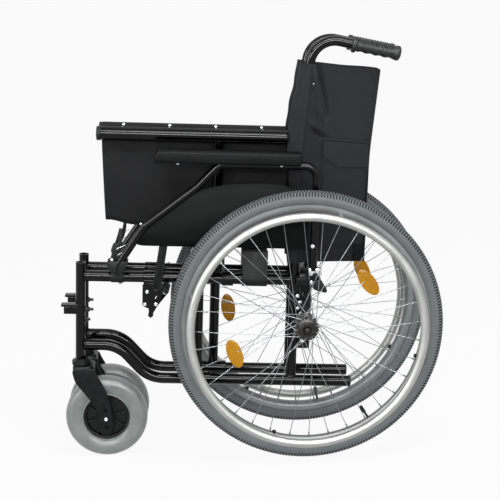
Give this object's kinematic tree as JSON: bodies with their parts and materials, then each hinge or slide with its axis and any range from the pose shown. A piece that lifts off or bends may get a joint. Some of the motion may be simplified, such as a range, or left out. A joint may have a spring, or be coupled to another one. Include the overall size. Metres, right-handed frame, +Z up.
{
  "type": "folding wheelchair",
  "caption": "Self-propelled wheelchair with a cross-brace frame, spoked rear wheels with handrims, swivel casters, flip-back armrests and sling seat, stored folded.",
  "frame": {"origin": "middle of the folded chair's outer box on the floor", "axes": "+Z up, +X to the rear of the chair, +Y to the right side"},
  "size_m": [0.8514, 0.3544, 0.9284],
  "materials": {
    "frame_paint": "gloss black powder coat",
    "rim_alloy": "polished",
    "handrim_alloy": "polished",
    "spoke_steel": "bright",
    "axle_steel": "zinc plated",
    "bracket_steel": "satin",
    "tyre_grey": "matte grey",
    "caster_grey": "satin light grey",
    "black_plastic": "satin",
    "grip_rubber": "matte",
    "nylon": "woven black",
    "pad_skin": "black leather cloth"
  },
  "bodies": {
    "left_frame": {"left_front_post": "frame_paint", "left_upper_tube": "frame_paint", "left_lower_tube": "frame_paint", "left_back_cane": "frame_paint", "left_push_grip": "grip_rubber", "left_axle_plate": "axle_steel", "left_seat_cradle": "black_plastic", "left_arm_socket": "bracket_steel", "left_arm_latch": "black_plastic", "left_brake_plate": "frame_paint"},
    "left_side_link": {"left_side_link": "frame_paint"},
    "left_arm": {"left_arm_tube": "frame_paint", "left_arm_pad": "pad_skin", "left_skirt_guard": "black_plastic"},
    "left_latch_lever": {"left_arm_latch_lever": "black_plastic"},
    "left_socket_lever": {"left_arm_socket_lever": "black_plastic"},
    "left_brake": {"left_brake_lever": "frame_paint"},
    "left_wheel": {"left_wheel_hub": "spoke_steel", "left_wheel_rim": "rim_alloy", "left_wheel_tyre": "tyre_grey", "left_handrim": "handrim_alloy"},
    "left_button": {"left_axle_button": "axle_steel"},
    "left_caster_swivel": {"left_caster_fork": "frame_paint"},
    "left_caster": {"left_caster_wheel": "black_plastic", "left_caster_tyre": "caster_grey"},
    "left_seat": {"left_seat_half": "nylon"},
    "left_back": {"left_back_outer": "nylon"},
    "left_back_fold": {"left_back_inner": "nylon"},
    "right_frame": {"right_front_post": "frame_paint", "right_upper_tube": "frame_paint", "right_lower_tube": "frame_paint", "right_back_cane": "frame_paint", "right_push_grip": "grip_rubber", "right_axle_plate": "axle_steel", "right_seat_cradle": "black_plastic", "right_arm_socket": "bracket_steel", "right_arm_latch": "black_plastic", "right_brake_plate": "frame_paint"},
    "right_side_link": {"right_side_link": "frame_paint"},
    "right_arm": {"right_arm_tube": "frame_paint", "right_arm_pad": "pad_skin", "right_skirt_guard": "black_plastic"},
    "right_latch_lever": {"right_arm_latch_lever": "black_plastic"},
    "right_socket_lever": {"right_arm_socket_lever": "black_plastic"},
    "right_brake": {"right_brake_lever": "frame_paint"},
    "right_wheel": {"right_wheel_hub": "spoke_steel", "right_wheel_rim": "rim_alloy", "right_wheel_tyre": "tyre_grey", "right_handrim": "handrim_alloy"},
    "right_button": {"right_axle_button": "axle_steel"},
    "right_caster_swivel": {"right_caster_fork": "frame_paint"},
    "right_caster": {"right_caster_wheel": "black_plastic", "right_caster_tyre": "caster_grey"},
    "right_seat": {"right_seat_half": "nylon"},
    "right_back": {"right_back_outer": "nylon"},
    "right_back_fold": {"right_back_inner": "nylon"},
    "brace_a": {"cross_bar_a": "frame_paint", "right_seat_rail": "frame_paint"},
    "brace_b": {"cross_bar_b": "frame_paint", "left_seat_rail": "frame_paint"}
  },
  "joints": [
    {"name": "fold", "type": "hinge", "parent": "left_frame", "child": "brace_a", "pos_m": [-0.12429, -0.043, 0.16976], "axis": [-0.9979, 0, 0.0645], "range_deg": [0, 50.5]},
    {"name": "brace_pivot", "type": "hinge", "parent": "brace_a", "child": "brace_b", "pos_m": [-0.08578, 0, 0.45543], "axis": [-0.9979, 0, 0.0645], "range_deg": [-101.01, 0]},
    {"name": "right_foot", "type": "hinge", "parent": "brace_b", "child": "right_frame", "pos_m": [-0.08737, 0.043, 0.16737], "axis": [-0.9979, 0, 0.0645], "range_deg": [0, 50.51]},
    {"name": "left_side_link_turn", "type": "hinge", "parent": "left_frame", "child": "left_side_link", "pos_m": [-0.05221, -0.043, 0.40109], "axis": [-0.9979, 0, 0.0645], "range_deg": [0, 91.25]},
    {"name": "left_seat_turn", "type": "hinge", "parent": "brace_b", "child": "left_seat", "pos_m": [-0.10345, -0.03999, 0.72457], "axis": [-0.9979, 0, 0.0645], "range_deg": [-32.16, 0]},
    {"name": "left_back_turn", "type": "hinge", "parent": "left_frame", "child": "left_back", "pos_m": [0.10628, -0.043, 0.43243], "axis": [0.0986, 0, 0.9951], "range_deg": [0, 82.01]},
    {"name": "left_back_fold_turn", "type": "hinge", "parent": "left_back", "child": "left_back_fold", "pos_m": [0.26198, -0.02101, 0.41699], "axis": [0.0986, 0, 0.9951], "range_deg": [-160.81, 0]},
    {"name": "left_arm_flip", "type": "hinge", "parent": "left_frame", "child": "left_arm", "pos_m": [0.14776, -0.082, 0.4097], "axis": [0, 1, 0], "range_deg": [0, 80]},
    {"name": "left_latch_lever_turn", "type": "hinge", "parent": "left_arm", "child": "left_latch_lever", "pos_m": [-0.29995, -0.08, 0.4597], "axis": [0, -1, 0], "range_deg": [0, 20], "stiffness_Nm_per_rad": 0.3, "springref_deg": -11.46},
    {"name": "left_socket_lever_turn", "type": "hinge", "parent": "left_frame", "child": "left_socket_lever", "pos_m": [0.1522, -0.076, 0.38537], "axis": [0, -1, 0], "range_deg": [0, 25], "stiffness_Nm_per_rad": 0.3, "springref_deg": -11.46},
    {"name": "left_brake_turn", "type": "hinge", "parent": "left_frame", "child": "left_brake", "pos_m": [-0.2058, -0.063, 0.38146], "axis": [0, 1, 0], "range_deg": [0, 21]},
    {"name": "left_wheel_spin", "type": "hinge", "parent": "left_frame", "child": "left_wheel", "pos_m": [0.12221, -0.119, 0.30353], "axis": [0, 1, 0], "continuous": true},
    {"name": "left_button_press", "type": "slide", "parent": "left_frame", "child": "left_button", "axis": [0, 1, 0], "range_m": [0, 0.004], "stiffness_N_per_m": 600, "springref_m": -0.003},
    {"name": "left_caster_turn", "type": "hinge", "parent": "left_frame", "child": "left_caster_swivel", "pos_m": [-0.38397, -0.043, 0.23069], "axis": [0, 0, -1], "range_deg": [0, 180]},
    {"name": "left_caster_spin", "type": "hinge", "parent": "left_caster_swivel", "child": "left_caster", "pos_m": [-0.33304, -0.043, 0.0927], "axis": [0, 1, 0], "continuous": true},
    {"name": "right_side_link_turn", "type": "hinge", "parent": "right_frame", "child": "right_side_link", "pos_m": [-0.12905, 0.043, 0.40606], "axis": [-0.9979, 0, 0.0645], "range_deg": [-91.25, 0]},
    {"name": "right_seat_turn", "type": "hinge", "parent": "brace_a", "child": "right_seat", "pos_m": [-0.10345, 0.03999, 0.72457], "axis": [-0.9979, 0, 0.0645], "range_deg": [0, 32.16]},
    {"name": "right_back_turn", "type": "hinge", "parent": "right_frame", "child": "right_back", "pos_m": [0.10628, 0.043, 0.43243], "axis": [0.0986, 0, 0.9951], "range_deg": [-82.01, 0]},
    {"name": "right_back_fold_turn", "type": "hinge", "parent": "right_back", "child": "right_back_fold", "pos_m": [0.26198, 0.02101, 0.41699], "axis": [0.0986, 0, 0.9951], "range_deg": [0, 160.81]},
    {"name": "right_arm_flip", "type": "hinge", "parent": "right_frame", "child": "right_arm", "pos_m": [0.14776, 0.082, 0.4097], "axis": [0, 1, 0], "range_deg": [0, 80]},
    {"name": "right_latch_lever_turn", "type": "hinge", "parent": "right_arm", "child": "right_latch_lever", "pos_m": [-0.29995, 0.08, 0.4597], "axis": [0, -1, 0], "range_deg": [0, 20], "stiffness_Nm_per_rad": 0.3, "springref_deg": -11.46},
    {"name": "right_socket_lever_turn", "type": "hinge", "parent": "right_frame", "child": "right_socket_lever", "pos_m": [0.1522, 0.076, 0.38537], "axis": [0, -1, 0], "range_deg": [0, 25], "stiffness_Nm_per_rad": 0.3, "springref_deg": -11.46},
    {"name": "right_brake_turn", "type": "hinge", "parent": "right_frame", "child": "right_brake", "pos_m": [-0.2058, 0.063, 0.38146], "axis": [0, 1, 0], "range_deg": [0, 21]},
    {"name": "right_wheel_spin", "type": "hinge", "parent": "right_frame", "child": "right_wheel", "pos_m": [0.12221, 0.119, 0.30353], "axis": [0, 1, 0], "continuous": true},
    {"name": "right_button_press", "type": "slide", "parent": "right_frame", "child": "right_button", "axis": [0, -1, 0], "range_m": [0, 0.004], "stiffness_N_per_m": 600, "springref_m": -0.003},
    {"name": "right_caster_turn", "type": "hinge", "parent": "right_frame", "child": "right_caster_swivel", "pos_m": [-0.38397, 0.043, 0.23069], "axis": [0, 0, 1], "range_deg": [0, 180]},
    {"name": "right_caster_spin", "type": "hinge", "parent": "right_caster_swivel", "child": "right_caster", "pos_m": [-0.33304, 0.043, 0.0927], "axis": [0, 1, 0], "continuous": true}
  ],
  "couplings": [
    {"joint": "brace_pivot", "follows": "fold", "ratio": -2},
    {"joint": "right_foot", "follows": "fold", "ratio": 1},
    {"joint": "left_side_link_turn", "follows": "fold", "ratio": 1.8069},
    {"joint": "left_seat_turn", "follows": "fold", "ratio": -0.63669},
    {"joint": "left_back_turn", "follows": "fold", "ratio": 1.6238},
    {"joint": "left_back_fold_turn", "follows": "fold", "ratio": -3.1843},
    {"joint": "right_side_link_turn", "follows": "fold", "ratio": -1.8069},
    {"joint": "right_seat_turn", "follows": "fold", "ratio": 0.63669},
    {"joint": "right_back_turn", "follows": "fold", "ratio": -1.6238},
    {"joint": "right_back_fold_turn", "follows": "fold", "ratio": 3.1843}
  ]
}
